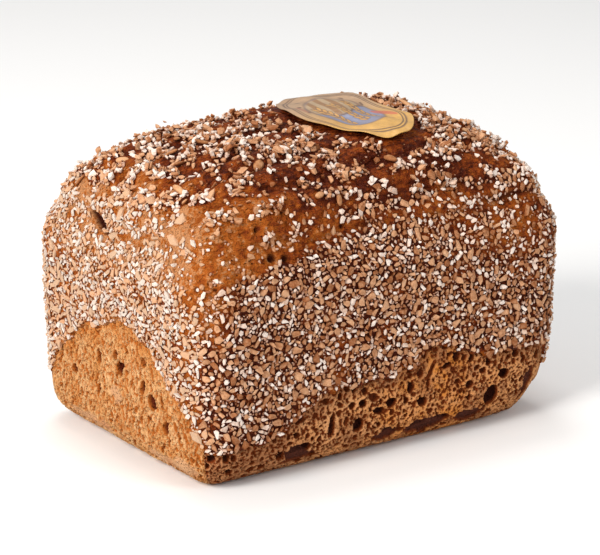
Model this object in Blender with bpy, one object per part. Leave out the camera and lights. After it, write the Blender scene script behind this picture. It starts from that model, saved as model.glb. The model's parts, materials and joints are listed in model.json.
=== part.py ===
"""A spelt loaf baked in a tin: straight flared walls, a folded dome, open crumb bared round the foot,
cracked grain and whole kernels set in the crust, and a wavy oval paper label on top.

The origin is the centre of the flat underside. X runs along the loaf, and the long side that shows
faces -Y. Lengths are in metres.
"""

import bisect
import itertools
import math
import random

import bmesh
import bpy
from mathutils import Matrix, Vector, noise
from mathutils.bvhtree import BVHTree

# Tin walls
LENGTH = 0.1838
WIDTH = 0.1276
WALL_HEIGHT = 0.0977
EDGE_RADIUS = 0.0168
FLARE = 0.0134  # how far a wall leans out for each metre of height

# Dome above the walls
DOME_RISE = 0.0296
DOME_LEAN = 0.074  # share by which it rises more towards +X
DOME_POWER = (4.6, 4.13)  # how squarely it falls along X and along Y
DOME_ROUND = (1.02, 1.27)

# Mesh steps along the loaf, across it and up the walls
LONG_STEP = 0.0098
CROSS_STEP = 0.0062
WALL_STEP = 0.0125
EDGE_CELLS = 2

# Relief of the crust
FOLD_SPACING = 0.0135
FOLD_DEPTH = 0.0009
FOLD_WANDER = 0.007
BULGE_SIZE = 0.042
BULGE_WALL = 0.0006
BULGE_DOME = 0.0012
WANDER_SIZE = 0.05
DOME_FADE = (-0.006, 0.010)  # where the dome's relief comes in, from the walls' top
LIP_HEIGHT = 0.0995  # the dome's crust overhangs the tin wall here
LIP_DEPTH = 0.0011
LIP_STEP = 0.003
LIP_REACH = 0.012
FOOT_HEIGHT = 0.012  # below it the relief fades out towards the flat underside

# Rubbed corner at the foot of the shown side
WORN_DEPTH = 0.0072
WORN_REACH = 0.021
WORN_RISE = 0.6

# Bared crumb: how high it reaches on the long sides and on the ends
SIDE_CRUMB_LOW = 0.017
SIDE_CRUMB_HIGH = 0.033
SIDE_CRUMB_RISE = (-0.062, -0.030)
SIDE_CRUMB_PEAK = 0.009
SIDE_CRUMB_PEAK_X = 0.026
SIDE_CRUMB_PEAK_WIDTH = 0.015
END_CRUMB_TOP = 0.059
END_CRUMB_DROP = 0.034
END_CRUMB_Y = -0.010
END_CRUMB_HALF = (0.047, 0.062)  # half width towards the near corner and away from it
END_CRUMB_LEAST = 0.020
CRUMB_RAGGED = 0.003
CRUMB_RAGGED_SIZE = 0.009
CORNER_BLEND = 0.1

# Pores in the crumb
PORE_COUNT = 21
PORE_WIDTH = (0.0030, 0.0055)
PORE_STRETCH = (0.9, 1.7)
PORE_DEPTH = 0.0062  # height of a cutter, half of which is sunk
PORE_MARGIN = 0.004
PORE_GAP = 0.0085
PORE_LARGE = 0.0071  # from this size on a pore is rounder
PORE_TURN = 0.4
# The largest that show: place along the wall, height, width and height of the mouth
SIDE_PORES = (
    (0.0540, 0.0135, 0.0075, 0.0082),
    (0.0605, 0.0235, 0.0060, 0.0040),
    (0.0180, 0.0195, 0.0052, 0.0046),
    (0.0220, 0.0325, 0.0028, 0.0100),
    (-0.0145, 0.0160, 0.0054, 0.0064),
    (-0.0280, 0.0190, 0.0032, 0.0105),
    (-0.0070, 0.0265, 0.0050, 0.0040),
    (-0.0410, 0.0105, 0.0095, 0.0052),
    (0.0220, 0.0060, 0.0160, 0.0045),
)
END_PORES = (
    (-0.0285, 0.0315, 0.0072, 0.0062),
    (-0.0380, 0.0235, 0.0046, 0.0055),
    (-0.0460, 0.0265, 0.0032, 0.0040),
    (-0.0010, 0.0445, 0.0028, 0.0044),
    (-0.0050, 0.0370, 0.0054, 0.0072),
    (0.0310, 0.0320, 0.0052, 0.0038),
)

# Grain in the crust: length, width and thickness
CHIP_SIZE = (0.0056, 0.0038, 0.0026)
KERNEL_SIZE = (0.0086, 0.0034, 0.0028)
GRAIN_COUNT = 232
GRAIN_DARTS = 9000
GRAIN_SPACING = 0.0127
GRAIN_SPREAD = 0.18  # how much one grain's size differs from the next
GRAIN_TILT = 0.35
CHIP_FULLNESS = 0.82  # side of a chip's block as a share of its size
CHIP_TAPER = 0.75
RAGGED = 0.16  # how far a corner of a grain or a pore strays
GRAIN_PROUD = 0.12  # share of the thickness that the middle stands out of the crust
KERNEL_SHARE = 0.4  # of the grain on the dome
KERNEL_CALM = 0.4  # a long kernel leans less than a chip
BAND_COVER = 0.3  # grain on the torn band at the shoulder, next to a full cover of 1
BAND_HEIGHTS = (0.090, 0.110)
CLUSTER_SIZE = 0.020
CLUSTER_COVER = (0.25, 1.0)
CLUSTER_EDGE = (-0.2, 0.3)
UNDERSIDE = -0.2  # a face whose normal points lower carries no grain
DOME_TOP = 0.6  # a face whose normal points higher is on the dome
CRUMB_GAP = 0.002  # between the crumb's edge and the nearest grain

# Label
LABEL_LENGTH = 0.0760
LABEL_WIDTH = 0.0430
LABEL_MIDDLE = (0.0215, -0.0020)
LABEL_TURN = math.radians(95)
LABEL_THICKNESS = 0.0004
LABEL_GAP = 0.0005
LABEL_WAVE = 0.0008
LABEL_RIPPLES = ((1.0, 5.2, 1.1, 0.0), (0.5, 0.0, 7.0, 2.0))  # share, turn along, turn across, start
LABEL_CURL = 0.0016
LABEL_RINGS = 6
LABEL_SIDES = 30
LABEL_BED = (0.9, 1.3)  # shares of its outline between which the folds flatten under it
LABEL_CLEAR = 1.24  # share of its outline inside which no grain lies

SEED = 7
EPSILON = 1e-6

UP = Vector((0, 0, 1))


def clear_scene():
    for obj in list(bpy.data.objects):
        bpy.data.objects.remove(obj, do_unlink=True)


def smooth(low, high, value):
    """0 below low, 1 above high, and an even rise between them."""
    share = min(1.0, max(0.0, (value - low) / (high - low)))
    return share * share * (3 - 2 * share)


def bump(distance):
    return math.exp(-distance * distance)


def material(name, colour, roughness, metallic=0.0):
    made = bpy.data.materials.new(name)
    made.use_nodes = True
    shader = made.node_tree.nodes["Principled BSDF"]
    shader.inputs["Base Color"].default_value = (*colour, 1)
    shader.inputs["Roughness"].default_value = roughness
    shader.inputs["Metallic"].default_value = metallic
    made.diffuse_color = (*colour, 1)
    return made


def crust_material():
    return material("baked crust", (0.30, 0.105, 0.032), 0.55)


def crumb_material():
    return material("open crumb", (0.46, 0.21, 0.075), 0.9)


def grain_material():
    return material("cracked grain", (0.66, 0.45, 0.26), 0.7)


def paper_material():
    return material("label paper", (0.62, 0.44, 0.20), 0.45)


def object_from(bm, name, materials, collection=None):
    mesh = bpy.data.meshes.new(name)
    bm.to_mesh(mesh)
    bm.free()
    for one in materials:
        mesh.materials.append(one)
    made = bpy.data.objects.new(name, mesh)
    (collection or bpy.context.scene.collection).objects.link(made)
    return made


def dome_rise(x, y):
    """How far the dome stands above the walls' top at a point of the plan."""
    reach = (LENGTH / 2 + FLARE * WALL_HEIGHT, WIDTH / 2 + FLARE * WALL_HEIGHT)
    rise = DOME_RISE * (1 + DOME_LEAN * x / (LENGTH / 2))
    for value, limit, power, roundness in zip((x, y), reach, DOME_POWER, DOME_ROUND):
        rise *= (1 - min(1.0, abs(value) / limit) ** power) ** roundness
    return rise


def on_loaf(point):
    """Moves a point of the plain block to its place on the smooth loaf."""
    half = Vector((LENGTH / 2, WIDTH / 2, WALL_HEIGHT / 2))
    middle = Vector((0, 0, half.z))
    core = Vector(point)
    for axis in range(3):
        limit = half[axis] - EDGE_RADIUS
        core[axis] = middle[axis] + max(-limit, min(limit, point[axis] - middle[axis]))
    place = core + (point - core).normalized() * EDGE_RADIUS
    place.x *= 1 + FLARE * place.z / half.x
    place.y *= 1 + FLARE * place.z / half.y
    share = max(0.0, (place.z - WALL_HEIGHT + EDGE_RADIUS) / EDGE_RADIUS)
    place.z += share * dome_rise(place.x, place.y)
    worn = (place - Vector((half.x, -half.y, 0))).length
    inward = Vector((-1, 1, WORN_RISE * smooth(0, FOOT_HEIGHT, place.z))).normalized()
    return place + inward * WORN_DEPTH * bump(worn / WORN_REACH)


def label_reach(x, y):
    """Distance from the label's middle as a share of its outline: 1 on its edge."""
    across = Vector((x - LABEL_MIDDLE[0], y - LABEL_MIDDLE[1]))
    across.rotate(Matrix.Rotation(-LABEL_TURN, 2))
    return math.hypot(across.x / (LABEL_LENGTH / 2), across.y / (LABEL_WIDTH / 2))


def relief(place):
    """How far the crust stands out of the smooth loaf."""
    dome = smooth(*DOME_FADE, place.z - WALL_HEIGHT)
    bulge = noise.noise(place / BULGE_SIZE) * (BULGE_WALL + BULGE_DOME * dome)
    wander = FOLD_WANDER * noise.noise(Vector((place.x, place.y, LENGTH)) / WANDER_SIZE)
    fold = FOLD_DEPTH * math.sin(2 * math.pi * (place.y + wander) / FOLD_SPACING)
    above = place.z - LIP_HEIGHT
    lip = LIP_DEPTH * (2 * smooth(-LIP_STEP, LIP_STEP, above) - 1) * bump(above / LIP_REACH)
    flat = smooth(*LABEL_BED, label_reach(place.x, place.y)) if dome == 1 else 1
    return smooth(0, FOOT_HEIGHT, place.z) * (bulge + dome * fold * flat + lip)


def side_crumb(x):
    low, high = SIDE_CRUMB_RISE
    rise = (SIDE_CRUMB_HIGH - SIDE_CRUMB_LOW) * smooth(low, high, x)
    peak = SIDE_CRUMB_PEAK * bump((x - SIDE_CRUMB_PEAK_X) / SIDE_CRUMB_PEAK_WIDTH)
    return SIDE_CRUMB_LOW + rise + peak


def end_crumb(y):
    away = y - END_CRUMB_Y
    half = END_CRUMB_HALF[0] if away < 0 else END_CRUMB_HALF[1]
    return max(END_CRUMB_LEAST, END_CRUMB_TOP - END_CRUMB_DROP * (away / half) ** 2)


def crumb_height(place):
    """How high the bared crumb reaches here. The hidden walls repeat the shown ones turned half round."""
    side = side_crumb(place.x if place.y < 0 else -place.x)
    end = end_crumb(place.y if place.x < 0 else -place.y)
    share = abs(place.x) / (LENGTH / 2) - abs(place.y) / (WIDTH / 2)
    ragged = CRUMB_RAGGED * noise.noise(place / CRUMB_RAGGED_SIZE)
    return side + (end - side) * smooth(-CORNER_BLEND, CORNER_BLEND, share) + ragged


def lattice_steps(half, step):
    """Where the block is cut along one axis, with closer cuts over its rounded edges."""
    inner = half - EDGE_RADIUS
    count = max(1, round(2 * inner / step))
    middle = [-inner + 2 * inner * i / count for i in range(count + 1)]
    edge = [half - EDGE_RADIUS * i / EDGE_CELLS for i in range(1, EDGE_CELLS)]
    return [-value for value in edge] + middle + edge


def shaped_block():
    """The bare body: a block cut into a lattice, then moved onto the loaf and given its relief."""
    bm = bmesh.new()
    bmesh.ops.create_cube(bm, size=1)
    bmesh.ops.scale(bm, verts=bm.verts, vec=(LENGTH, WIDTH, WALL_HEIGHT))
    for axis, size, step in ((0, LENGTH, LONG_STEP), (1, WIDTH, CROSS_STEP), (2, WALL_HEIGHT, WALL_STEP)):
        normal = Vector((0, 0, 0))
        normal[axis] = 1
        for offset in lattice_steps(size / 2, step):
            geometry = bm.verts[:] + bm.edges[:] + bm.faces[:]
            bmesh.ops.bisect_plane(bm, geom=geometry, plane_co=normal * offset, plane_no=normal)
    bmesh.ops.translate(bm, verts=bm.verts, vec=(0, 0, WALL_HEIGHT / 2))
    for vert in bm.verts:
        vert.co = on_loaf(vert.co)
    bm.normal_update()
    moves = [vert.normal * relief(vert.co) for vert in bm.verts]
    for vert, move in zip(bm.verts, moves):
        vert.co += move
    underside = [face for face in bm.faces if max(vert.co.z for vert in face.verts) < EPSILON]
    bmesh.ops.dissolve_faces(bm, faces=underside)
    for face in bm.faces:
        bared = face.calc_center_median()
        face.material_index = 1 if bared.z < crumb_height(bared) else 0
    bmesh.ops.triangulate(bm, faces=bm.faces)
    bm.normal_update()
    return bm


def lump(place, normal, turn, tilt, size, rng, detail=1):
    """A ragged lump of the given size, its third axis along the normal: angular at detail 0, else rounded."""
    bm = bmesh.new()
    if detail:
        bmesh.ops.create_icosphere(bm, subdivisions=detail, radius=0.5)
    else:
        bmesh.ops.create_cube(bm, size=CHIP_FULLNESS)
    for vert in bm.verts:
        vert.co *= 1 + rng.uniform(-RAGGED, RAGGED)
        if not detail and vert.co.z > 0:
            vert.co.xy *= CHIP_TAPER
    facing = normal.to_track_quat("Z", "Y").to_matrix()
    if abs(normal.z) < 0.9:
        across = UP.cross(normal).normalized()
        facing = Matrix((across, normal.cross(across), normal)).transposed()
    spin = Matrix.Rotation(turn, 3, "Z")
    lean = Matrix.Rotation(tilt, 3, "Y")
    frame = (facing @ spin @ lean).to_4x4()
    scale = Matrix.Diagonal((*size, 1))
    bmesh.ops.transform(bm, matrix=Matrix.Translation(place) @ frame @ scale, verts=bm.verts)
    bmesh.ops.recalc_face_normals(bm, faces=bm.faces)
    return bm


def wall_point(tree, along, height, wall):
    """The point and normal of a wall at a distance along it and a height."""
    shown = wall in ("side", "end")
    sign = -1 if shown else 1
    if wall.endswith("side"):
        start = Vector((-sign * along, sign * WIDTH, height))
        way = Vector((0, -sign, 0))
    else:
        start = Vector((sign * LENGTH, -sign * along, height))
        way = Vector((-sign, 0, 0))
    place, normal, _, _ = tree.ray_cast(start, way)
    return place, normal


def pore_places(rng):
    """Yields wall, place along it, height, width and height of each pore, the named ones first."""
    for along, height, width, tall in SIDE_PORES:
        yield "side", along, height, width, tall
    for along, height, width, tall in END_PORES:
        yield "end", along, height, width, tall
    for wall in itertools.cycle(("side", "far side", "end", "far end", "far side")):
        half = (LENGTH if wall.endswith("side") else WIDTH) / 2 - EDGE_RADIUS
        along = rng.uniform(-half, half)
        limit = side_crumb(along) if wall.endswith("side") else end_crumb(along)
        height = rng.uniform(PORE_MARGIN, limit - PORE_MARGIN)
        width = rng.uniform(*PORE_WIDTH)
        yield wall, along, height, width, width * rng.uniform(*PORE_STRETCH)


def add_pores(tree, helpers, materials):
    """Cutters for the pores, each half sunk in its wall and clear of the others."""
    rng = random.Random(SEED)
    kept = []
    wanted = len(SIDE_PORES) + len(END_PORES) + PORE_COUNT
    for wall, along, height, width, tall in pore_places(rng):
        place, normal = wall_point(tree, along, height, wall)
        apart = min(((place - other).length for other in kept), default=1)
        if apart < PORE_GAP and len(kept) >= len(SIDE_PORES) + len(END_PORES):
            continue
        kept.append(place)
        size = (width, tall, min(PORE_DEPTH, width))
        detail = 2 if max(width, tall) > PORE_LARGE else 1
        bm = lump(place, normal, rng.uniform(-PORE_TURN, PORE_TURN), 0, size, rng, detail)
        for face in bm.faces:
            face.material_index = 1
        object_from(bm, f"pore {len(kept)}", materials, helpers)
        if len(kept) == wanted:
            return


def grain_cover(place, normal):
    """The share of this part of the crust that carries grain, from 0 to 1."""
    if normal.z < UNDERSIDE or place.z < crumb_height(place) + CRUMB_GAP:
        return 0
    if place.z > BAND_HEIGHTS[1] and label_reach(place.x, place.y) < LABEL_CLEAR:
        return 0
    if BAND_HEIGHTS[0] < place.z < BAND_HEIGHTS[1] and abs(place.y) > abs(place.x) * WIDTH / LENGTH:
        return BAND_COVER
    if place.z < BAND_HEIGHTS[1]:
        return 1
    least, most = CLUSTER_COVER
    return least + (most - least) * smooth(*CLUSTER_EDGE, noise.noise(place / CLUSTER_SIZE))


def grain_places(bm, rng):
    """Evenly spread points on the crust, as place and normal."""
    faces = [face for face in bm.faces if face.normal.z > UNDERSIDE]
    reach = list(itertools.accumulate(face.calc_area() for face in faces))
    kept = []
    for _ in range(GRAIN_DARTS):
        face = faces[min(len(faces) - 1, bisect.bisect(reach, rng.uniform(0, reach[-1])))]
        first, second, third = (vert.co for vert in face.verts)
        share, rest = sorted((rng.random(), rng.random()))
        place = first * share + second * (rest - share) + third * (1 - rest)
        normal = face.normal.copy()
        if rng.random() > grain_cover(place, normal):
            continue
        if any((place - other).length < GRAIN_SPACING for other, _ in kept):
            continue
        kept.append((place, normal))
        if len(kept) == GRAIN_COUNT:
            break
    return kept


def add_grains(bm, helpers, materials):
    """Chips of cracked grain on the walls, with whole kernels among them on the dome."""
    rng = random.Random(SEED + 1)
    for number, (place, normal) in enumerate(grain_places(bm, rng)):
        kernel = normal.z > DOME_TOP and rng.random() < KERNEL_SHARE
        size = [value * rng.uniform(1 - GRAIN_SPREAD, 1 + GRAIN_SPREAD)
                for value in (KERNEL_SIZE if kernel else CHIP_SIZE)]
        middle = place + normal * size[2] * GRAIN_PROUD
        tilt = rng.uniform(-GRAIN_TILT, GRAIN_TILT) * (KERNEL_CALM if kernel else 1)
        grain = lump(middle, normal, rng.uniform(0, 2 * math.pi), tilt, size, rng, 1 if kernel else 0)
        for face in grain.faces:
            face.material_index = 2
        object_from(grain, f"grain {number}", materials, helpers)


def apply_boolean(obj, helpers, operation, solver):
    """Cuts or joins the whole collection in one step, then removes its objects."""
    modifier = obj.modifiers.new(operation.lower(), "BOOLEAN")
    modifier.operation = operation
    modifier.operand_type = "COLLECTION"
    modifier.collection = helpers
    modifier.solver = solver
    graph = bpy.context.evaluated_depsgraph_get()
    done = bpy.data.meshes.new_from_object(obj.evaluated_get(graph))
    obj.modifiers.remove(modifier)
    old = obj.data
    obj.data = done
    bpy.data.meshes.remove(old)
    for helper in list(helpers.objects):
        mesh = helper.data
        bpy.data.objects.remove(helper, do_unlink=True)
        bpy.data.meshes.remove(mesh)
    bpy.data.collections.remove(helpers)


def helper_collection(name):
    made = bpy.data.collections.new(name)
    made.hide_render = True
    bpy.context.scene.collection.children.link(made)
    return made


def keep_outer_shell(obj):
    """Drops loose scraps and fills sealed hollows: only the shell with the most faces stays."""
    bm = bmesh.new()
    bm.from_mesh(obj.data)
    left = set(bm.faces)
    shells = []
    while left:
        shell = set()
        front = [left.pop()]
        while front:
            face = front.pop()
            shell.add(face)
            near = {other for edge in face.edges for other in edge.link_faces}
            front.extend(near & left)
            left -= near
        shells.append(shell)
    shells.sort(key=len)
    loose = [face for shell in shells[:-1] for face in shell]
    bmesh.ops.delete(bm, geom=loose, context="FACES")
    bm.to_mesh(obj.data)
    bm.free()


def make_loaf():
    materials = [crust_material(), crumb_material(), grain_material()]
    bm = shaped_block()
    tree = BVHTree.FromBMesh(bm)
    pores = helper_collection("pore cutters")
    grains = helper_collection("grain")
    add_pores(tree, pores, materials)
    add_grains(bm, grains, materials)
    loaf = object_from(bm, "loaf", materials)
    apply_boolean(loaf, pores, "DIFFERENCE", "EXACT")
    apply_boolean(loaf, grains, "UNION", "MANIFOLD")
    keep_outer_shell(loaf)
    return loaf


def label_point(radius, angle):
    """A point of the label in plan, with its wave above the dome under it."""
    along = radius * math.cos(angle)
    across = radius * math.sin(angle)
    flat = Vector((along * LABEL_LENGTH / 2, across * LABEL_WIDTH / 2))
    flat.rotate(Matrix.Rotation(LABEL_TURN, 2))
    x = LABEL_MIDDLE[0] + flat.x
    y = LABEL_MIDDLE[1] + flat.y
    wave = LABEL_WAVE * sum(share * math.sin(turn * along + cross * across + start)
                            for share, turn, cross, start in LABEL_RIPPLES)
    curl = LABEL_CURL * along * along
    return Vector((x, y, WALL_HEIGHT + dome_rise(x, y) + wave + curl))


def make_label(loaf):
    """A paper oval that follows the dome in shallow waves and rests just clear of the crust."""
    bm = bmesh.new()
    rings = [[bm.verts.new(label_point(0, 0))]]
    for ring in range(1, LABEL_RINGS + 1):
        turns = [2 * math.pi * i / LABEL_SIDES for i in range(LABEL_SIDES)]
        rings.append([bm.verts.new(label_point(ring / LABEL_RINGS, turn)) for turn in turns])
    for i in range(LABEL_SIDES):
        j = (i + 1) % LABEL_SIDES
        bm.faces.new((rings[0][0], rings[1][i], rings[1][j]))
        for inner, outer in zip(rings[1:], rings[2:]):
            bm.faces.new((inner[i], outer[i], outer[j], inner[j]))
    bmesh.ops.triangulate(bm, faces=bm.faces)
    graph = bpy.context.evaluated_depsgraph_get()
    tree = BVHTree.FromObject(loaf, graph)
    rest = -1.0
    for vert in bm.verts:
        above = Vector((vert.co.x, vert.co.y, 2 * WALL_HEIGHT))
        rest = max(rest, tree.ray_cast(above, -UP)[0].z - vert.co.z)
    lift = rest + LABEL_GAP + LABEL_THICKNESS
    bmesh.ops.translate(bm, verts=bm.verts, vec=(0, 0, lift))
    label = object_from(bm, "label", [paper_material()])
    sheet = label.modifiers.new("paper thickness", "SOLIDIFY")
    sheet.thickness = LABEL_THICKNESS
    sheet.offset = -1
    return label


clear_scene()
make_label(make_loaf())
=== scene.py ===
# Spelt loaf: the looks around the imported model
import json
import math
from contextlib import contextmanager
from itertools import product

import bpy
import numpy as np
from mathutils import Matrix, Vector, noise

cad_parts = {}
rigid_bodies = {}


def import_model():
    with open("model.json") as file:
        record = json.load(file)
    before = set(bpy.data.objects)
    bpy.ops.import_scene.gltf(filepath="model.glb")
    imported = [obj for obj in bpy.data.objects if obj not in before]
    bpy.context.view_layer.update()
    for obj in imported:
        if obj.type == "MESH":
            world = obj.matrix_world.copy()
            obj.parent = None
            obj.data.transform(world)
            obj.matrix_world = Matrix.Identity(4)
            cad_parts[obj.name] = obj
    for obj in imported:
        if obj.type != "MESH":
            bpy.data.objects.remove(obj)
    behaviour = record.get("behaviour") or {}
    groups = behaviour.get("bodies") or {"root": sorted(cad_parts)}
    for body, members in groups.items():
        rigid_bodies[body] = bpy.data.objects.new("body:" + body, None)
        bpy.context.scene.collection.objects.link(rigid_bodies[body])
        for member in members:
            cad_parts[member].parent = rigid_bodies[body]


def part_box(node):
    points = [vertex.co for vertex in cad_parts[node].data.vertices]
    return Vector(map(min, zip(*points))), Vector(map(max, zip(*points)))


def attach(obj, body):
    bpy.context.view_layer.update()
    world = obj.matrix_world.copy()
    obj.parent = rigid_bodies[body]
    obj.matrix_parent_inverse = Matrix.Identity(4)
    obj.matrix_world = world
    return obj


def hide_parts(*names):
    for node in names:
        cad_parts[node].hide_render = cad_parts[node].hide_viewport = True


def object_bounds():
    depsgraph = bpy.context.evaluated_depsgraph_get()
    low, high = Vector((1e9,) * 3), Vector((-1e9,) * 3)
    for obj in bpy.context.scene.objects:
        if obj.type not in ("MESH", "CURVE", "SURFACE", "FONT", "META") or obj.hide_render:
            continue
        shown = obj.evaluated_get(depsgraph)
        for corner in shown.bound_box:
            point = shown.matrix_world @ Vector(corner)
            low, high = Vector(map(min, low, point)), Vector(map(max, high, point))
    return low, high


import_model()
cadBox = [list(corner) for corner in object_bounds()]
print("frame loaded, box in mm:", [[round(value * 1000, 1) for value in corner] for corner in cadBox])

# the loaf's form, the same sizes as the solid has, in metres
loaf = dict(
    length=0.1838, width=0.1276, wallHeight=0.0977, edgeRadius=0.0168, flare=0.0134,
    domeRise=0.0296, domeLean=0.074, domePower=(4.6, 4.13), domeRound=(1.02, 1.27),
    foldSpacing=0.0135, foldDepth=0.0009, foldWander=0.007, wanderSize=0.05,
    bulgeSize=0.042, bulgeWall=0.0006, bulgeDome=0.0012, domeFade=(-0.006, 0.01),
    lipHeight=0.0995, lipDepth=0.0011, lipStep=0.003, lipReach=0.012, footHeight=0.012,
    wornDepth=0.0072, wornReach=0.021, wornRise=0.6,
)
half = np.array((loaf["length"] / 2, loaf["width"] / 2))
wallHeight = loaf["wallHeight"]
edgeRadius = loaf["edgeRadius"]

# how high the bared crumb reaches on the long sides and on the ends
crumbEdge = dict(
    sideLow=0.017, sideHigh=0.033, sideRise=(-0.062, -0.03),
    sidePeak=0.009, sidePeakX=0.026, sidePeakWidth=0.015,
    endTop=0.059, endDrop=0.034, endY=-0.01, endHalf=(0.047, 0.062), endLeast=0.02,
    ragged=0.003, raggedSize=0.009, cornerBlend=0.1, torn=0.0022, tornSize=0.0042,
)

labelForm = dict(
    length=0.076, width=0.043, middle=(0.0215, -0.002), turn=math.radians(95), thickness=0.0003,
    wave=0.0008, curl=0.0016, bed=(0.9, 1.3), clear=1.12, rings=88, sides=290,
    ripples=((1.0, 5.2, 1.1, 0.0), (0.5, 0.0, 7.0, 2.0), (0.4, 10.0, 4.0, 1.0), (0.3, -6.0, 11.0, 0.6)),
    edgeWave=((5, 0.016, 0.4), (9, 0.011, 2.1)),
)


def ramp(low, high, value):
    share = np.clip((value - low) / (high - low), 0, 1)
    return share * share * (3 - 2 * share)


def bump(value):
    return np.exp(-value * value)


def unit(vectors):
    return vectors / np.maximum(np.linalg.norm(vectors, axis=-1, keepdims=True), 1e-12)


def turnBack(x, y, turn):
    return x * math.cos(turn) + y * math.sin(turn), y * math.cos(turn) - x * math.sin(turn)


# Distance of each place from a straight line, and how far along it that is
def fromLine(place, start, end):
    way = end - start
    share = np.clip((place - start) @ way / (way @ way), 0, 1)
    return np.linalg.norm(place - start - share[..., None] * way, axis=-1), share


def noiseAt(points, size, layer=0.0):
    flat = (np.asarray(points) / size + layer).reshape(-1, 3).tolist()
    return np.array([noise.noise(point) for point in flat]).reshape(points.shape[:-1])


def layeredNoise(points, size, layer):
    return sum(noiseAt(points, size / 2 ** octave, layer + 7.3 * octave) / 2 ** octave
               for octave in range(3))


def deselectAll():
    if bpy.context.object and bpy.context.object.mode != "OBJECT":
        bpy.ops.object.mode_set(mode="OBJECT")
    bpy.ops.object.select_all(action="DESELECT")


@contextmanager
def editMode(selectAll=True):
    bpy.ops.object.mode_set(mode="EDIT")
    if selectAll:
        bpy.ops.mesh.select_all(action="SELECT")
    yield
    bpy.ops.object.mode_set(mode="OBJECT")


# Rows of three values, such as a mesh's places, normals or triangles
def readRows(items, key, kind=float):
    values = np.empty(len(items) * 3, dtype=kind)
    items.foreach_get(key, values)
    return values.reshape(-1, 3)


def setPlaces(mesh, places):
    mesh.vertices.foreach_set("co", np.ascontiguousarray(places, dtype=np.float32).ravel())
    mesh.update()


def selectFaces(mesh, wanted):
    bpy.context.tool_settings.mesh_select_mode = (False, False, True)
    mesh.vertices.foreach_set("select", np.zeros(len(mesh.vertices), dtype=bool))
    mesh.edges.foreach_set("select", np.zeros(len(mesh.edges), dtype=bool))
    mesh.polygons.foreach_set("select", wanted)


def setAttribute(mesh, name, values):
    layer = mesh.attributes.new(name, "FLOAT", "POINT")
    layer.data.foreach_set("value", np.ascontiguousarray(values, dtype=np.float32).ravel())


def meshObject(name, places, faces, material, smooth=True):
    mesh = bpy.data.meshes.new(name)
    mesh.from_pydata(places.tolist(), [], faces)
    mesh.update()
    mesh.materials.append(material)
    mesh.polygons.foreach_set("use_smooth", [smooth] * len(mesh.polygons))
    piece = bpy.data.objects.new(name, mesh)
    bpy.context.scene.collection.objects.link(piece)
    return piece


# The loaf's surface. All of it works on arrays of points.
def domeRise(x, y):
    rise = loaf["domeRise"] * (1 + loaf["domeLean"] * x / half[0])
    reach = half + loaf["flare"] * wallHeight
    for value, limit, power, roundness in zip((x, y), reach, loaf["domePower"], loaf["domeRound"]):
        rise = rise * (1 - np.minimum(1, np.abs(value) / limit) ** power) ** roundness
    return rise


def shellPoint(core, direction):
    place = core + direction * edgeRadius
    for axis in (0, 1):
        place[..., axis] *= 1 + loaf["flare"] * place[..., 2] / half[axis]
    share = np.maximum(0, (place[..., 2] - wallHeight + edgeRadius) / edgeRadius)
    place[..., 2] += share * domeRise(place[..., 0], place[..., 1])
    corner = np.array((half[0], -half[1], 0))
    worn = np.linalg.norm(place - corner, axis=-1, keepdims=True)
    inward = np.ones(place.shape)
    inward[..., 0] = -1
    inward[..., 2] = loaf["wornRise"] * ramp(0, loaf["footHeight"], place[..., 2])
    return place + unit(inward) * loaf["wornDepth"] * bump(worn / loaf["wornReach"])


def onLoaf(points):
    middle = np.array((0, 0, wallHeight / 2))
    inner = np.array((*half, wallHeight / 2)) - edgeRadius
    core = middle + np.clip(points - middle, -inner, inner)
    return shellPoint(core, unit(points - core))


# Distance from the label's middle as a share of its outline: 1 on its edge
def labelReach(place):
    middle = labelForm["middle"]
    along, across = turnBack(place[..., 0] - middle[0], place[..., 1] - middle[1], labelForm["turn"])
    return np.hypot(along / (labelForm["length"] / 2), across / (labelForm["width"] / 2))


# The folds run along the dome and wander alike at every height
def foldPhase(place):
    flat = place.copy()
    flat[..., 2] = loaf["length"]
    wander = loaf["foldWander"] * noiseAt(flat, loaf["wanderSize"])
    return 2 * math.pi * (place[..., 1] + wander) / loaf["foldSpacing"]


def relief(place):
    height = place[..., 2]
    dome = ramp(*loaf["domeFade"], height - wallHeight)
    bulge = noiseAt(place, loaf["bulgeSize"]) * (loaf["bulgeWall"] + loaf["bulgeDome"] * dome)
    fold = loaf["foldDepth"] * np.sin(foldPhase(place))
    above = height - loaf["lipHeight"]
    step = 2 * ramp(-loaf["lipStep"], loaf["lipStep"], above) - 1
    lip = loaf["lipDepth"] * step * bump(above / loaf["lipReach"])
    flat = np.where(dome == 1, ramp(*labelForm["bed"], labelReach(place)), 1)
    return ramp(0, loaf["footHeight"], height) * (bulge + dome * fold * flat + lip)


# Above 0 towards the ends, below 0 towards the long sides
def endwards(place):
    return np.abs(place[..., 0]) / half[0] - np.abs(place[..., 1]) / half[1]


# Distance along a long side, on the far one counted from its other end
def alongSide(place):
    return np.where(place[..., 1] < 0, place[..., 0], -place[..., 0])


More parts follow.
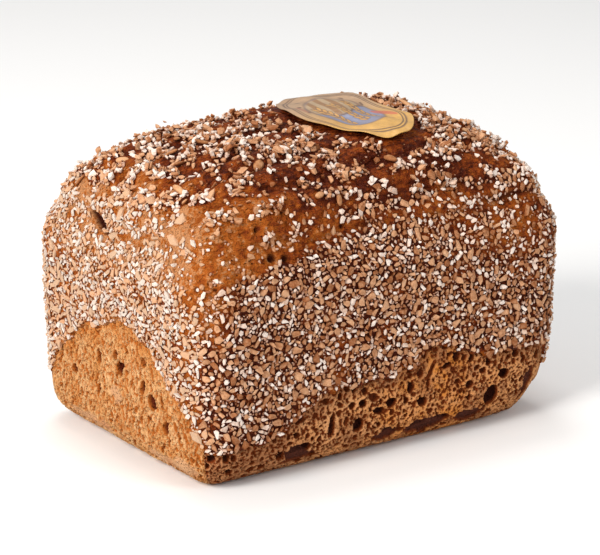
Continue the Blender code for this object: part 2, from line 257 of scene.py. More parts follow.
def crumbHeight(place):
    x = alongSide(place)
    y = np.where(place[..., 0] < 0, place[..., 1], -place[..., 1])
    low, high = crumbEdge["sideLow"], crumbEdge["sideHigh"]
    side = low + (high - low) * ramp(*crumbEdge["sideRise"], x)
    side = side + crumbEdge["sidePeak"] * bump((x - crumbEdge["sidePeakX"]) / crumbEdge["sidePeakWidth"])
    away = y - crumbEdge["endY"]
    wide = np.where(away < 0, *crumbEdge["endHalf"])
    end = np.maximum(crumbEdge["endLeast"], crumbEdge["endTop"] - crumbEdge["endDrop"] * (away / wide) ** 2)
    blend = ramp(-crumbEdge["cornerBlend"], crumbEdge["cornerBlend"], endwards(place))
    ragged = crumbEdge["ragged"] * noiseAt(place, crumbEdge["raggedSize"])
    ragged = ragged + crumbEdge["torn"] * noiseAt(place, crumbEdge["tornSize"], 17.0)
    return side + (end - side) * blend + ragged


# Regions of the crust. The hidden walls repeat the shown ones, turned half round.
regions = dict(
    bandFoot=(0.097, 0.011, 0.0, -0.085), bandFootRight=(0.005, 0.04, 0.07),  # height, drop, from, to
    bandTop=(0.1035, 0.0075, -0.012, -0.05), bandTopLeft=(0.005, -0.06, -0.085),
    streakX=-0.0245, streakWidth=0.0036, streakTop=(0.064, 0.052),
    cornerX=-0.087, cornerY=-0.061, cornerReach=0.01, cornerHeights=(0.056, 0.072),
    darkBands=(((-0.034, -0.049), (0.013, -0.0525)), ((-0.008, -0.04), (0.026, -0.048), (0.049, -0.052))),
    darkReach=0.0042,
)


def turned(place):
    shown = place.copy()
    flip = (place[..., 1] * (loaf["length"] / loaf["width"]) + place[..., 0]) > 0
    shown[..., :2] *= np.where(flip, -1, 1)[..., None]
    return shown


def bandEdges(x):
    height, drop, start, end = regions["bandFoot"]
    foot = height - drop * ramp(-start, -end, -x)
    drop, start, end = regions["bandFootRight"]
    foot = foot - drop * ramp(start, end, x)
    height, rise, start, end = regions["bandTop"]
    top = height + rise * ramp(-start, -end, -x)
    drop, start, end = regions["bandTopLeft"]
    return foot, top - drop * ramp(-start, -end, -x)


# 1 on the torn band at the long sides' shoulder, 0 away from it
def bareBand(place):
    foot, top = bandEdges(alongSide(place))
    height = place[..., 2] + 0.0022 * noiseAt(place, 0.006, 3.0)
    above = ramp(foot - 0.001, foot + 0.002, height)
    return above * ramp(top + 0.001, top - 0.002, height) * ramp(-0.12, 0.02, -endwards(place))


# 1 on the end walls, 0 on the long sides and on the dome
def onEnd(place):
    return ramp(-0.03, 0.08, endwards(place)) * ramp(0.116, 0.104, place[..., 2])


def nearLine(place, line, reach):
    spots = np.array(line)
    away = [fromLine(place[..., :2], start, end)[0] for start, end in zip(spots, spots[1:])]
    return bump(np.minimum(1, np.min(away, axis=0) / reach))


def darkBand(place):
    found = 0
    for line in regions["darkBands"]:
        for seen in (place, -place):
            found = np.maximum(found, nearLine(seen, line, regions["darkReach"]))
    return found * ramp(0.1, 0.108, place[..., 2])


def bareStreak(place):
    wide = regions["streakWidth"] * (1 + 0.5 * noiseAt(place, 0.008, 5.0))
    streak = bump((alongSide(place) - regions["streakX"]) / wide)
    return streak * ramp(*regions["streakTop"], place[..., 2]) * (1 - onEnd(place))


def bareCorner(place):
    shown = turned(place)
    away = np.hypot(shown[..., 0] - regions["cornerX"], shown[..., 1] - regions["cornerY"])
    return bump(away / regions["cornerReach"]) * ramp(*regions["cornerHeights"], place[..., 2])


# 1 high on the right half of a long side, where the grain lies thin
def thinGrain(place):
    right = ramp(-0.01, 0.05, turned(place)[..., 0])
    return ramp(0.058, 0.084, place[..., 2]) * right * (1 - onEnd(place))


# 1 where the grain lies heaped together on the dome, 0 where the crust is bare
def grainClusters(place):
    shown = turned(place)
    rows = 0.2 * np.sin(foldPhase(place) + 0.9) + 2.1 * noiseAt(place * (0.85, 1, 1), 0.0068, 83.0)
    left = ramp(-0.02, -0.045, shown[:, 0])
    bareFront = left * ramp(-0.02, -0.042, shown[:, 1])
    crest = left * ramp(-0.014, 0.006, shown[:, 1])
    return ramp(0.05, 0.45, rows + 0.06 - 0.28 * bareFront + 0.5 * crest)


# How light the crust is: 1 golden, 0 dark brown. Part of it is painted shade: darker in the fold troughs,
# under and around the grain heaps, and between the grain on the walls.
def crustGolden(place):
    shown = turned(place)
    height = place[..., 2]
    clusters = grainClusters(place)
    left = ramp(-0.025, -0.078, shown[..., 0])
    low = ramp(0.125, 0.109, height)
    # darker in the fold troughs and lighter on their crests: painted shade
    folds = 0.5 + 0.5 * np.sin(foldPhase(place))
    top = 0.17 + 0.2 * folds + (0.12 + 0.6 * left) * low - 0.22 * darkBand(place)
    # darker under and around the grain heaps: painted shade
    top = top * (1 - 0.5 * clusters) - 0.12 * clusters
    # on the walls the crust between the grain is near black-brown, painted shade in the gaps, lighter where
    # the grain lies thin and golden on the ends
    wall = 0.06 + (0.54 + 0.4 * ramp(0.076, 0.09, height)) * onEnd(place) + 0.3 * thinGrain(place)
    golden = wall + (top - wall) * ramp(0.1, 0.11, height) + 0.34 * layeredNoise(place, 0.01, 11.0)
    band = (0.44 + 0.38 * left) + 0.34 * layeredNoise(place, 0.006, 13.0)
    golden = golden + (band - golden) * np.maximum(bareBand(place), 0.85 * bareCorner(place))
    golden = golden + (0.42 - golden) * bareStreak(place)
    near = ramp(0.005, 0, height - crumbHeight(place))
    palest = ramp(-0.066, -0.08, shown[..., 0]) * ramp(-0.06, -0.046, shown[..., 1])
    return np.clip(golden + 0.3 * near, 0, 0.76 + 0.24 * palest)


# Materials
def plug(tree, value, socket):
    if isinstance(value, bpy.types.NodeSocket):
        tree.links.new(value, socket)
    elif value is not None:
        socket.default_value = value


def addNode(tree, kind, wires, **settings):
    made = tree.nodes.new(kind)
    for key, value in settings.items():
        setattr(made, key, value)
    for socket, value in wires.items():
        plug(tree, value, made.inputs[socket])
    return made.outputs


def mixColour(tree, factor, first, second):
    first, second = ((*value, 1) if isinstance(value, tuple) else value for value in (first, second))
    wires = {0: factor, 6: first, 7: second}  # the factor and the two colour sockets
    return addNode(tree, "ShaderNodeMix", wires, data_type="RGBA", clamp_factor=True)[2]


def mapValue(tree, value, fromLow, fromHigh, toLow=0.0, toHigh=1.0):
    wires = {"Value": value, "From Min": fromLow, "From Max": fromHigh, "To Min": toLow, "To Max": toHigh}
    return addNode(tree, "ShaderNodeMapRange", wires)["Result"]


def doMath(tree, operation, first, second, clamp=False):
    return addNode(tree, "ShaderNodeMath", {0: first, 1: second}, operation=operation, use_clamp=clamp)[0]


def attribute(tree, name, output="Fac"):
    return addNode(tree, "ShaderNodeAttribute", {}, attribute_name=name)[output]


def objectPlace(tree, stretch=(1, 1, 1)):
    place = addNode(tree, "ShaderNodeTexCoord", {})["Object"]
    return addNode(tree, "ShaderNodeMapping", {"Vector": place, "Scale": stretch})["Vector"]


def noiseNode(tree, place, size, detail=3.0, rough=0.6):
    wires = {"Vector": place, "Scale": 1 / size, "Detail": detail, "Roughness": rough}
    return addNode(tree, "ShaderNodeTexNoise", wires)["Fac"]


def cellNode(tree, place, size):
    return addNode(tree, "ShaderNodeTexVoronoi", {"Vector": place, "Scale": 1 / size})["Distance"]


def bumpNode(tree, height, distance, strength, normal=None):
    wires = {"Height": height, "Distance": distance, "Strength": strength, "Normal": normal}
    return addNode(tree, "ShaderNodeBump", wires)["Normal"]


def newMaterial(name, roughness, specular):
    made = bpy.data.materials.new(name)
    made.use_nodes = True
    shader = made.node_tree.nodes["Principled BSDF"].inputs
    shader["Roughness"].default_value = roughness
    shader["Specular IOR Level"].default_value = specular
    return made, made.node_tree, shader


def wireShader(tree, shader, colour, normal, roughness=None):
    for value, name in ((colour, "Base Color"), (normal, "Normal"), (roughness, "Roughness")):
        plug(tree, value, shader[name])


# The hollow colour is painted shade for the crust's troughs, creases, pits and slit
crustLook = dict(
    dark=(0.06, 0.009, 0.003), brown=(0.215, 0.038, 0.005), golden=(0.41, 0.109, 0.013),
    pale=(0.52, 0.245, 0.108), hollowShade=(0.04, 0.007, 0.003), dust=(0.56, 0.29, 0.13),
    blotchSize=0.0042, fleckSize=0.0016, dustSize=0.0017, dustyPlaces=0.006, speckSize=0.0046,
    cellSize=0.0022, lumpSize=0.0042,
)


def crustMaterial():
    made, tree, shader = newMaterial("baked crust", 0.5, 0.06)
    place = objectPlace(tree)
    blotch = noiseNode(tree, place, crustLook["blotchSize"])
    fleck = noiseNode(tree, objectPlace(tree, (0.55, 1, 1)), crustLook["fleckSize"], 4.0, 0.7)
    tone = doMath(tree, "ADD", attribute(tree, "golden"), mapValue(tree, blotch, 0.3, 0.7, -0.22, 0.22))
    tone = doMath(tree, "ADD", tone, mapValue(tree, fleck, 0.3, 0.7, -0.32, 0.32), clamp=True)
    lower = mixColour(tree, mapValue(tree, tone, 0.0, 0.42), crustLook["dark"], crustLook["brown"])
    upper = mixColour(tree, mapValue(tree, tone, 0.8, 1.04), crustLook["golden"], crustLook["pale"])
    colour = mixColour(tree, mapValue(tree, tone, 0.36, 0.86), lower, upper)
    dusty = mapValue(tree, noiseNode(tree, place, crustLook["dustyPlaces"]), 0.48, 0.62, 0.0, 0.75)
    dust = mapValue(tree, cellNode(tree, place, crustLook["dustSize"]), 0.22, 0.1)
    colour = mixColour(tree, doMath(tree, "MULTIPLY", dust, dusty), colour, crustLook["dust"])
    # Small dark specks on the bare crust stand for tiny pits; with the hollows below they take the painted
    # shade colour
    specks = mapValue(tree, cellNode(tree, place, crustLook["speckSize"]), 0.13, 0.07)
    specks = doMath(tree, "MULTIPLY", specks, attribute(tree, "bare"))
    hollowShade = doMath(tree, "MAXIMUM", attribute(tree, "hollowShade"), specks)
    colour = mixColour(tree, hollowShade, colour, crustLook["hollowShade"])
    lumps = noiseNode(tree, objectPlace(tree, (0.6, 1, 1)), crustLook["lumpSize"])
    rough = bumpNode(tree, fleck, 0.0016, 1.0)
    rough = bumpNode(tree, cellNode(tree, place, crustLook["cellSize"]), 0.001, 0.8, rough)
    rough = bumpNode(tree, lumps, 0.0034, 0.9, rough)
    dull = doMath(tree, "MAXIMUM", mapValue(tree, tone, 0.1, 0.9, 0.38, 0.66), hollowShade)
    wireShader(tree, shader, colour, rough, dull)
    return made


# The pore and pit colours darken the crumb the deeper its pores reach: painted shade
sideLook = dict(
    web=(0.66, 0.34, 0.162), webDeep=(0.6, 0.2, 0.028), pore=(0.195, 0.038, 0.007), pit=(0.03, 0.006, 0.003),
    # the dark brown of the torn hollows at the foot is painted shade
    smear=(0.46, 0.235, 0.15), tornShade=(0.085, 0.026, 0.017), baked=(0.32, 0.125, 0.052),
    poreSize=0.0012, blotchSize=0.01, fineSize=0.0009,
)
endLook = dict(
    sideLook, web=(0.7, 0.455, 0.24), webDeep=(0.54, 0.23, 0.06), pore=(0.42, 0.12, 0.02),
    pit=(0.095, 0.016, 0.005), baked=(0.52, 0.2, 0.05), poreSize=0.0014,
)


def crumbMaterial(name, look):
    made, tree, shader = newMaterial(name, 0.85, 0.06)
    place = objectPlace(tree)
    blotch = noiseNode(tree, place, look["blotchSize"])
    fine = noiseNode(tree, place, look["fineSize"], 4.0, 0.7)
    cells = cellNode(tree, place, look["poreSize"])
    deeper = doMath(tree, "MULTIPLY", mapValue(tree, blotch, 0.38, 0.62, 0.3), attribute(tree, "warm"))
    web = mixColour(tree, deeper, look["web"], look["webDeep"])
    web = mixColour(tree, mapValue(tree, fine, 0.35, 0.75, 0.0, 0.5), web, look["webDeep"])
    web = mixColour(tree, attribute(tree, "baked"), web, look["baked"])
    web = mixColour(tree, mapValue(tree, attribute(tree, "smear"), 0.0, 1.0, 0.0, 0.4), web, look["smear"])
    # Tiny dark cells stand for pores too small to model: painted shade
    tiny = doMath(tree, "MULTIPLY", mapValue(tree, cells, 0.3, 0.18), attribute(tree, "open"))
    colour = mixColour(tree, tiny, web, look["pore"])
    # Darker and then near black with the pores' depth: painted shade
    depth = attribute(tree, "pore")
    colour = mixColour(tree, mapValue(tree, depth, 0.04, 0.26), colour, look["pore"])
    colour = mixColour(tree, mapValue(tree, depth, 0.3, 0.75), colour, look["pit"])
    # the torn hollows at the foot are painted dark brown: painted shade
    tornShade = doMath(tree, "MULTIPLY", attribute(tree, "tornShade"), mapValue(tree, fine, 0.62, 0.42, 0.35))
    colour = mixColour(tree, tornShade, colour, look["tornShade"])
    normal = bumpNode(tree, fine, 0.0007, 0.9)
    normal = bumpNode(tree, mapValue(tree, cells, 0.18, 0.42), 0.0007, 0.9, normal)
    wireShader(tree, shader, colour, normal)
    return made


# each grain's foot is painted dark brown where it sits in the crust: painted shade
grainFootShade = (0.13, 0.034, 0.01)
grainLooks = dict(
    grainKernels=dict(name="whole kernels", pale=(0.53, 0.31, 0.17), light=(0.6, 0.33, 0.17),
                      deep=(0.34, 0.135, 0.05), fleckSize=0.0016),
    grainTan=dict(name="tan chips", pale=(0.5, 0.33, 0.215), light=(0.59, 0.318, 0.172),
                  deep=(0.28, 0.096, 0.033), fleckSize=0.0011),
    grainWhite=dict(name="white chips", pale=(0.58, 0.49, 0.42), light=(0.82, 0.715, 0.64),
                    deep=(0.62, 0.42, 0.31), fleckSize=0.0009),
    grainBits=dict(name="meal bits", pale=(0.52, 0.355, 0.248), light=(0.67, 0.45, 0.34),
                   deep=(0.24, 0.08, 0.03), fleckSize=0.0008),
)


def grainMaterial(name, pale, light, deep, fleckSize):
    made, tree, shader = newMaterial(name, 0.72, 0.1)
    fleck = noiseNode(tree, objectPlace(tree), fleckSize, 3.0, 0.65)
    tone = doMath(tree, "ADD", attribute(tree, "tone"), mapValue(tree, fleck, 0.3, 0.7, -0.34, 0.34))
    colour = mixColour(tree, mapValue(tree, tone, -0.7, 0.1), pale, light)
    colour = mixColour(tree, tone, colour, deep)
    # tones above 1 are the painted shade at each grain's foot
    colour = mixColour(tree, mapValue(tree, tone, 1.05, 1.9), colour, grainFootShade)
    wireShader(tree, shader, colour, bumpNode(tree, fleck, 0.0005, 0.9))
    return made


# The bread's body. Lumps are their size, depth and noise layer. Pits and slit are in millimetres:
# the place on the loaf and a pit's reach.
bodyForm = dict(
    cuts=92, fineFrom=0.8, footMargin=0.002, recess=0.0062, recessEdge=0.001,
    lumps=((0.013, 0.0008, 21.0), (0.005, 0.00055, 23.0), (0.0026, 0.0003, 25.0)),
    pits=((-89.5, -58.4, 86.4, 1.3), (-83.5, -63.3, 86.4, 1.1), (-55.1, -61.5, 94.3, 1.9),
          (-49.3, -62, 93.2, 1.7), (-60, -56, 105, 1.1), (-47, -53, 108.5, 1.2), (-2.7, -62, 94.3, 1.4),
          (79, -61.7, 93.5, 1.6), (76.3, -62.2, 93, 1.2), (-91.1, 2.6, 91.6, 1), (30, -60, 100, 1.2),
          (-20, -59, 101, 1.4)),
    slit=((-87.3, 23, 99), (-90, 7.5, 93.2)), pitDepth=0.002, slitReach=0.0018, slitRagged=0.0014,
    creaseHeight=0.0998, creaseDepth=0.0016, creaseReach=0.0013, foldCrease=0.0012, bandCrease=0.0008,
    tornDepth=0.0009, tornSize=(0.005, 0.0026, 0.0026),
)


# 1 in the pits of the crust and in the slit at its end, which are painted dark as shade
def pitMask(place, wide=1.0):
    pits = np.zeros(place.shape[:-1])
    ragged = bodyForm["slitRagged"] * noiseAt(place, 0.003, 107.0)
    for turn in (1, -1):
        flip = (turn, turn, 1)
        for *spot, reach in np.array(bodyForm["pits"]) / 1000:
            away = np.linalg.norm(place - np.array(spot) * flip, axis=-1)
            pits = np.maximum(pits, ramp(1.35, 0.55, away / (reach * wide)))
        start, end = np.array(bodyForm["slit"]) / 1000 * flip
        away, share = fromLine(place, start, end)
        opened = bodyForm["slitReach"] * wide * (1 - 0.65 * (2 * share - 1) ** 2)
        pits = np.maximum(pits, ramp(1.5, 0.5, (away + ragged) / opened))
    return pits


# The crust's own relief over the loaf's form, and the painted shade for its troughs, creases, pits and slit
def fineRelief(place):
    dome = ramp(0.1, 0.108, place[..., 2])
    total = sum(depth * noiseAt(place, size, layer) * (0.3 + 0.7 * dome)
                for size, depth, layer in bodyForm["lumps"])
    torn = noiseAt(place / np.array(bodyForm["tornSize"]), 1.0, 31.0)
    total = total + bodyForm["tornDepth"] * torn * np.maximum(bareBand(place), 0.35 * dome)
    flat = ramp(*labelForm["bed"], labelReach(place))
    trough = ramp(-0.45, -0.97, np.sin(foldPhase(place) + 0.5 * noiseAt(place, 0.012, 41.0)))
    trough = trough * dome * flat * ramp(-0.25, 0.25, noiseAt(place, 0.024, 43.0))
    wave = bodyForm["creaseHeight"] + 0.0014 * noiseAt(place, 0.02, 47.0)
    crease = bump((place[..., 2] - wave) / bodyForm["creaseReach"]) * ramp(-0.05, 0.06, -endwards(place))
    crease = crease * ramp(-0.35, 0.15, noiseAt(place, 0.022, 53.0))
    dark = darkBand(place)
    pits = pitMask(place)
    total = total - bodyForm["foldCrease"] * trough - bodyForm["creaseDepth"] * crease
    total = total - bodyForm["bandCrease"] * dark - bodyForm["pitDepth"] * pits
    return total, np.clip(0.22 * trough + 0.8 * crease + 0.15 * dark + pits, 0, 1)


def makeBody():
    deselectAll()
    bpy.ops.mesh.primitive_cube_add(size=1, location=(0, 0, wallHeight / 2))
    body = bpy.context.object
    body.name = "loafBody"
    bpy.ops.transform.resize(value=(loaf["length"], loaf["width"], wallHeight))
    bpy.ops.object.transform_apply(location=True, scale=True)
    with editMode():
        bpy.ops.mesh.subdivide(number_cuts=bodyForm["cuts"])
    mesh = body.data
    selectFaces(mesh, readRows(mesh.polygons, "center")[:, 2] > bodyForm["fineFrom"] * wallHeight)
    with editMode(selectAll=False):
        bpy.ops.mesh.subdivide(number_cuts=1)
    inner = half - edgeRadius
    centres = readRows(mesh.polygons, "center")
    flat = np.all(np.abs(centres[:, :2]) < inner - bodyForm["footMargin"], axis=1)
    selectFaces(mesh, flat & (centres[:, 2] < 1e-6))
    with editMode(selectAll=False):
        bpy.ops.mesh.dissolve_limited(angle_limit=0.01)
    smooth = onLoaf(readRows(mesh.vertices, "co"))
    setPlaces(mesh, smooth)
    normals = readRows(mesh.vertex_normals, "vector")
    fine, hollowShade = fineRelief(smooth)
    edge = smooth[:, 2] - crumbHeight(smooth)
    outside = np.max(np.abs(smooth[:, :2]) - inner, axis=1)
    sunk = bodyForm["recess"] * ramp(0, -bodyForm["recessEdge"], edge) * ramp(0, 0.003, outside)
    rise = relief(smooth) + fine * ramp(0, loaf["footHeight"], smooth[:, 2]) - sunk
    places = smooth + normals * rise[:, None]
    places[:, 2] = np.maximum(places[:, 2], 0)
    setPlaces(mesh, places)
    setAttribute(mesh, "golden", crustGolden(smooth))
    setAttribute(mesh, "hollowShade", hollowShade)
    setAttribute(mesh, "bare", np.maximum(bareBand(smooth), 0.5 * ramp(0.104, 0.11, smooth[:, 2])))
    mesh.polygons.foreach_set("use_smooth", [True] * len(mesh.polygons))
    mesh.materials.append(crustMaterial())
    print("loaf body:", len(mesh.polygons), "faces")
    return body


# The bared crumb: one closed strip for each wall, with its pores sunk in
crumbForm = dict(
    seed=11, step=0.00034, rows=132, footRows=8, footShare=0.35, over=0.0035, tuck=0.0017, sink=0.0007,
    back=0.0072, warpSize=0.0027, warp=0.00062, ridgeSize=0.0013, soft=0.0005, softSize=0.006,
    cell=0.004, overlap=0.0006, deepest=0.0052, shadeDepth=0.003, tornHollowDepth=0.0018, smearDepth=0.0007,
)

# Pores, torn hollows at the foot (painted dark as shade) and smears, in millimetres: along the wall from its
# middle, height, width, tallness.
# Sizes are the smallest and largest pore, their share of the wall and the web between them.
sideCrumb = dict(
    way=1, stretch=(0.75, 1.35), depth=1.0, ridge=0.00016, open=0.55, smears=(),
    pores=((54, 15, 7.8, 10), (60.5, 23.5, 6.2, 4.4), (18, 19.5, 5.2, 4.6), (22, 32.5, 2.8, 10),
           (-14.5, 16, 5.6, 7), (-28, 19, 3.4, 11), (-7, 26.5, 5.6, 3.6), (-43, 11.5, 11, 6),
           (29, 9.5, 10, 4.4), (42, 22.5, 4.6, 3.4), (66, 31, 4.2, 3.4), (-44, 24.5, 5.4, 3.6),
           (43, 9, 8, 3.6), (1, 9.5, 6.6, 4.4), (12, 27, 3.6, 5.2), (17, 8, 12, 4), (49, 27, 4, 3.4),
           (-4, 20, 6, 3.6), (30, 33, 4.6, 3)),
    sizes=((0.0034, 0.005, 0.06, 0.0012), (0.002, 0.0034, 0.24, 0.0006), (0.001, 0.002, 1.1, 0.0003)),
    tornHollows=((22.5, 6.8, 13, 4), (44, 6.8, 7.5, 3.4), (1, 7, 5, 3.2), (-43, 8, 7, 4.2), (77, 14, 3.4, 8)),
)
endCrumb = dict(
    way=-1, stretch=(1.0, 2.3), depth=0.92, ridge=0.00042, open=0.25, tornHollows=(),
    pores=((-27.5, 31.2, 7, 7), (-37.5, 23.2, 4.8, 6.6), (-44.9, 25.8, 3.4, 5.4), (-0.5, 43.8, 3.6, 4.6),
           (-3.8, 38.8, 5.8, 6.6), (11.8, 39.9, 3.6, 7), (-21.1, 46.2, 4, 4.6), (-8.5, 48, 5, 2.8),
           (18.6, 33.6, 2.4, 5), (32.3, 28.4, 5.2, 4), (-28.2, 44, 2.6, 8), (-20.7, 35.7, 3.8, 6.8),
           (12.7, 24.7, 3.6, 6), (26.5, 20.1, 3, 4.4), (-34.8, 33, 3, 6.4), (-18.5, 20.8, 3, 3.6),
           (22.9, 39.2, 3, 3.8), (2.9, 17, 2.8, 3.6)),
    sizes=((0.0026, 0.0036, 0.05, 0.001), (0.0016, 0.0027, 0.4, 0.0005), (0.0009, 0.0016, 1.2, 0.0003)),
    smears=((-0.4, 27.2, 3.6, 4.2), (-31, 7, 14, 3.4), (23, 8, 18, 3.4), (-48, 8, 10, 5)),
)


# Start, way, outward turn and length of each straight wall, counter-clockwise from the near side
def sideRuns():
    x, y = half - edgeRadius
    return (((-x, -y), (1, 0), -0.5, 2 * x), ((x, -y), (0, 1), 0.0, 2 * y),
            ((x, y), (-1, 0), 0.5, 2 * x), ((-x, y), (0, -1), 1.0, 2 * y))


cornerArc = math.pi / 2 * edgeRadius


# Smooth surface at a distance along one wall and a distance up its profile, from the underside
def stripPoint(wall, along, height):
    start, way, turn, run = sideRuns()[wall]
    straight = np.clip(along, 0, run)
    angle = math.pi * turn + (along - straight) / edgeRadius
    lean = np.minimum(0, height / edgeRadius - math.pi / 2)
    core = np.stack((start[0] + way[0] * straight, start[1] + way[1] * straight,
                     edgeRadius + np.maximum(0, height - cornerArc)), axis=-1)
    direction = np.stack((np.cos(angle) * np.cos(lean), np.sin(angle) * np.cos(lean), np.sin(lean)), axis=-1)
    return shellPoint(core, direction)


def profileHeight(z):
    bend = np.arcsin(np.clip(z / edgeRadius - 1, -1, 0))
    return (bend + math.pi / 2) * edgeRadius + np.maximum(0, z - edgeRadius)


# The large pores that show, and on the hidden walls the same, turned half round
def namedPores(form, run):
    for along, z, wide, tall in np.array(form["pores"]) / 1000:
        yield form["way"] * along + run / 2, float(profileHeight(z)), wide, tall


# Round and oval pores of falling size, each clear of the others by a thin web
def scatteredPores(rng, form, run, top):
    low, high = -cornerArc / 2, run + cornerArc / 2
    cells = {}
    cell = crumbForm["cell"]

    def near(along, height):
        column, row = int(along // cell), int(height // cell)
        for i, j in product(range(column - 1, column + 2), range(row - 1, row + 2)):
            yield from cells.get((i, j), ())

    def remember(along, height, reach):
        columns, rows = (range(int((middle - reach) // cell), int((middle + reach) // cell) + 1)
                         for middle in (along, height))
        for i, j in product(columns, rows):
            cells.setdefault((i, j), []).append((along, height, reach))

    kept = list(namedPores(form, run))
    for along, height, wide, tall in kept:
        remember(along, height, (wide + tall) / 4)
    area = (high - low) * float(np.mean(top))
    for least, most, share, web in form["sizes"]:
        darts = int(area * share * 2.2 / (least * most))
        thrown = [rng.uniform(*span, darts) for span in ((low, high), (0.006, np.max(top)), (least, most))]
        for along, height, size in zip(*thrown):
            room = size / 2 + web - crumbForm["overlap"]
            if any(math.hypot(along - a, height - h) < room + reach for a, h, reach in near(along, height)):
                continue
            tall = size * rng.uniform(*form["stretch"])
            kept.append((along, height, size * size / math.sqrt(size * tall), tall))
            remember(along, height, size / 2)
    return kept


# Torn hollows along the foot of the long sides, painted dark as shade, and smeared places on the ends: 1
# inside, 0 outside
def patches(form, kind, aside, place):
    found = np.zeros(aside.shape)
    ragged = 0.55 * noiseAt(place, 0.0045, 79.0) + 0.25 * noiseAt(place, 0.0018, 81.0)
    for spot, height, wide, tall in (np.array(row) / 1000 for row in form[kind]):
        away = np.hypot((aside - form["way"] * spot) / wide, (place[..., 2] - height) / tall)
        found = np.maximum(found, ramp(1.1, 0.8, away + ragged))
    return found


# How deep the pores reach at each point of the strip, their outlines warped a little
def poreDepth(rng, form, run, top, along, grid, height, smooth):
    warpAlong = grid + crumbForm["warp"] * noiseAt(smooth, crumbForm["warpSize"], 61.0)
    warpHeight = height + crumbForm["warp"] * noiseAt(smooth, crumbForm["warpSize"], 67.0)
    depth = np.zeros(grid.shape)
    for place, up, wide, tall in scatteredPores(rng, form, run, top):
        turn = rng.uniform(-0.5, 0.5)
        reach = max(wide, tall) * 0.5 + crumbForm["warp"]
        first, last = np.searchsorted(along, (place - reach, place + reach))
        across, upward = turnBack(warpAlong[first:last] - place, warpHeight[first:last] - up, turn)
        away = (across / (wide / 2)) ** 2 + (upward / (tall / 2)) ** 2
        bowl = np.sqrt(np.clip(1 - away ** 2, 0, 1))
        deep = min(crumbForm["deepest"], 0.62 * min(wide, tall) + 0.0002) * rng.uniform(0.7, 1.15)
        depth[first:last] = np.maximum(depth[first:last], deep * bowl)
    return depth * form["depth"]


# A grid of points and the two edges behind it, as one closed strip
def closedStrip(name, shell, inner, material):
    columns, rows = shell.shape[:2]
    index = np.arange(columns * rows).reshape(columns, rows)
    back = columns * rows + np.arange(columns * 2).reshape(columns, 2)

    def band(first, second):
        return np.stack((first[:-1], second[:-1], second[1:], first[1:]), axis=-1)

    quads = (index[:-1, :-1], index[1:, :-1], index[1:, 1:], index[:-1, 1:])
    under = band(index[:, 0], back[:, 0])
    behind = band(back[:, 0], back[:, 1])
    over = band(back[:, 1], index[:, -1])
    faces = np.vstack((np.stack(quads, axis=-1).reshape(-1, 4), under, behind, over)).tolist()
    faces.append([*index[0].tolist(), int(back[0, 1]), int(back[0, 0])])
    faces.append([*index[-1, ::-1].tolist(), int(back[-1, 0]), int(back[-1, 1])])
    print(name + ":", len(faces), "faces")
    return meshObject(name, np.vstack((shell.reshape(-1, 3), inner.reshape(-1, 3))), faces, material)


def makeCrumb(wall, name, material):
    rng = np.random.default_rng(crumbForm["seed"] + wall)
    form = (sideCrumb, endCrumb)[wall % 2]
    run = sideRuns()[wall][3]
    count = int((run + cornerArc) / crumbForm["step"])
    along = np.linspace(-cornerArc / 2, run + cornerArc / 2, count)
    wallFoot = stripPoint(wall, along, np.full(count, cornerArc + 0.015))
    top = profileHeight(crumbHeight(wallFoot)) + crumbForm["over"]
    foot = crumbForm["footShare"] * cornerArc
    low = np.linspace(0, foot, crumbForm["footRows"], endpoint=False)
    share = np.linspace(0, 1, crumbForm["rows"])
    height = np.hstack((np.tile(low, (count, 1)), foot + share * (top[:, None] - foot)))
    grid = np.repeat(along[:, None], height.shape[1], axis=1)
    smooth = stripPoint(wall, grid, height)
    normal = unit(np.cross(np.gradient(smooth, axis=0), np.gradient(smooth, axis=1)))
    depth = poreDepth(rng, form, run, top, along, grid, height, smooth)
    edge = crumbHeight(smooth) - smooth[..., 2]
    bared = ramp(-0.0006, 0.0006, edge)
    # torn hollows at the foot: sunk a little and painted dark as shade
    tornShade = patches(form, "tornHollows", grid - run / 2, smooth)
    smear = patches(form, "smears", grid - run / 2, smooth)
    depth = np.maximum(depth * (1 - 0.4 * smear), crumbForm["tornHollowDepth"] * tornShade)
    depth = np.maximum(depth, crumbForm["smearDepth"] * smear) * bared
    ridge = form["ridge"] * (1 - 2 * np.abs(noiseAt(smooth, crumbForm["ridgeSize"], 71.0)))
    soft = crumbForm["soft"] * noiseAt(smooth, crumbForm["softSize"], 73.0)
    settle = ramp(0.0004, 0.003, smooth[..., 2])
    rise = relief(smooth) - crumbForm["sink"] * settle - crumbForm["tuck"] * (1 - bared)
    rise = rise + (ridge + soft - depth) * settle
    shell = smooth + normal * rise[..., None]
    shell[..., 2] = np.maximum(shell[..., 2], 0)
    inner = smooth[:, (0, -1)] - normal[:, (0, -1)] * crumbForm["back"]
    piece = closedStrip(name, shell, inner, material)
    baked = 0.75 * ramp(0.0075, 0, edge + 0.004 * noiseAt(smooth, 0.007, 97.0))
    baked = baked + 0.6 * ramp(0.02, 0.4, noiseAt(smooth, 0.0085, 101.0))
    warm = np.full(grid.shape, 0.6)
    if form is sideCrumb:
        side = smooth[..., 0] * (1 if wall == 0 else -1)
        warm = 0.3 + 0.7 * bump((side - 0.024) / 0.028)
        baked = baked + 0.65 * ramp(-0.03, -0.062, side)
    shade = dict(
        pore=np.clip((depth - crumbForm["smearDepth"] * smear) / crumbForm["shadeDepth"], 0, 1),
        baked=np.clip(baked, 0, 0.8), warm=warm, tornShade=tornShade, smear=smear,
        open=form["open"] * (1 - 0.6 * np.maximum(smear, tornShade)),
    )
    for key, values in shade.items():
        hidden = np.full(inner.shape[0] * 2, 0.0 if key in ("tornShade", "smear") else 1.0)
        setAttribute(piece.data, key, np.append(values.ravel(), hidden))
    return piece


